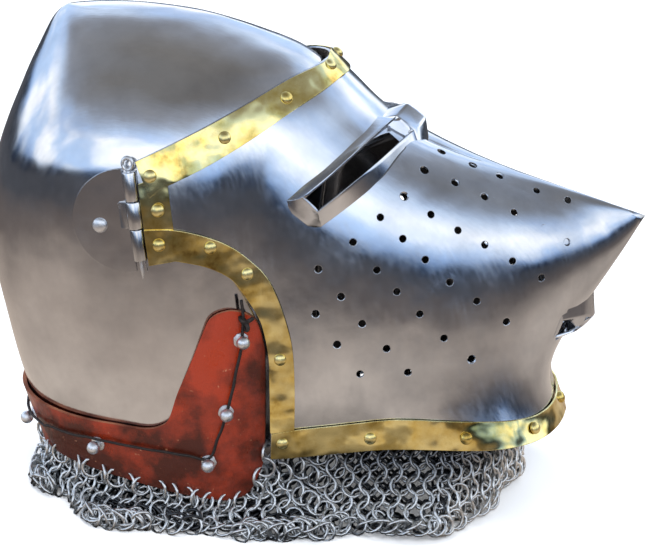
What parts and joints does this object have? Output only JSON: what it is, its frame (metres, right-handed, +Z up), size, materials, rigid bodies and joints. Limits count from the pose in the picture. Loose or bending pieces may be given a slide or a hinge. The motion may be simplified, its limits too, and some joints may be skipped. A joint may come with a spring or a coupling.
{
  "type": "hounskull bascinet",
  "caption": "Pointed helmet with a beaked visor that swings up on pinned side pivots, raised sights and mouth, brass edging and a laced-on mail aventail.",
  "frame": {"origin": "centre of the bounding box at its foot, where the mail rests on the floor", "axes": "+X to the wearer's left, -Y towards the tip of the snout, +Z up"},
  "size_m": [0.2158, 0.399, 0.298],
  "materials": {
    "skull_steel": "polished",
    "visor_steel": "polished",
    "band_brass": "polished",
    "rivet_brass": "polished",
    "hinge_steel": "satin",
    "red_leather": "waxed",
    "dark_lace": "waxed thong",
    "mail_steel": "dull riveted rings",
    "vervelle_steel": "satin"
  },
  "bodies": {
    "helmet": {"skull": "skull_steel", "aventail_leather": "red_leather", "lace": "dark_lace", "mail_aventail": "mail_steel", "vervelle_1_left": "vervelle_steel", "vervelle_1_right": "vervelle_steel", "vervelle_2_left": "vervelle_steel", "vervelle_2_right": "vervelle_steel", "vervelle_3_left": "vervelle_steel", "vervelle_3_right": "vervelle_steel", "vervelle_4_left": "vervelle_steel", "vervelle_4_right": "vervelle_steel", "vervelle_5_left": "vervelle_steel", "vervelle_5_right": "vervelle_steel", "pivot_rivet_left": "hinge_steel", "pivot_rivet_right": "hinge_steel"},
    "visor_assembly": {"visor": "visor_steel", "brow_band": "band_brass", "hinge_band_left": "band_brass", "hinge_band_right": "band_brass", "cheek_band_left": "band_brass", "cheek_band_right": "band_brass", "bottom_band_left": "band_brass", "bottom_band_right": "band_brass", "rivet_brow_1_left": "rivet_brass", "rivet_brow_1_right": "rivet_brass", "rivet_brow_2_left": "rivet_brass", "rivet_brow_2_right": "rivet_brass", "rivet_brow_3_left": "rivet_brass", "rivet_brow_3_right": "rivet_brass", "rivet_brow_4_left": "rivet_brass", "rivet_brow_4_right": "rivet_brass", "rivet_hinge_1_left": "rivet_brass", "rivet_hinge_1_right": "rivet_brass", "rivet_cheek_1_left": "rivet_brass", "rivet_cheek_1_right": "rivet_brass", "rivet_cheek_2_left": "rivet_brass", "rivet_cheek_2_right": "rivet_brass", "rivet_cheek_3_left": "rivet_brass", "rivet_cheek_3_right": "rivet_brass", "rivet_cheek_4_left": "rivet_brass", "rivet_cheek_4_right": "rivet_brass", "rivet_bottom_1_left": "rivet_brass", "rivet_bottom_1_right": "rivet_brass", "rivet_bottom_2_left": "rivet_brass", "rivet_bottom_2_right": "rivet_brass", "rivet_bottom_3_left": "rivet_brass", "rivet_bottom_3_right": "rivet_brass", "rivet_bottom_4_left": "rivet_brass", "rivet_bottom_4_right": "rivet_brass", "rivet_chin": "rivet_brass", "hinge_leaf_left": "hinge_steel", "hinge_leaf_right": "hinge_steel", "pivot_plate_left": "hinge_steel", "pivot_plate_right": "hinge_steel"},
    "pin_left": {"hinge_pin_left": "hinge_steel"},
    "pin_right": {"hinge_pin_right": "hinge_steel"}
  },
  "joints": [
    {"name": "visor_lift", "type": "hinge", "parent": "helmet", "child": "visor_assembly", "pos_m": [0, 0.11024, 0.18923], "axis": [-1, 0, 0], "range_deg": [0, 95]},
    {"name": "pin_draw_left", "type": "slide", "parent": "visor_assembly", "child": "pin_left", "axis": [-0.0644, 0.1194, 0.9908], "range_m": [0, 0.07]},
    {"name": "pin_draw_right", "type": "slide", "parent": "visor_assembly", "child": "pin_right", "axis": [0.0644, 0.1194, 0.9908], "range_m": [0, 0.07]}
  ]
}
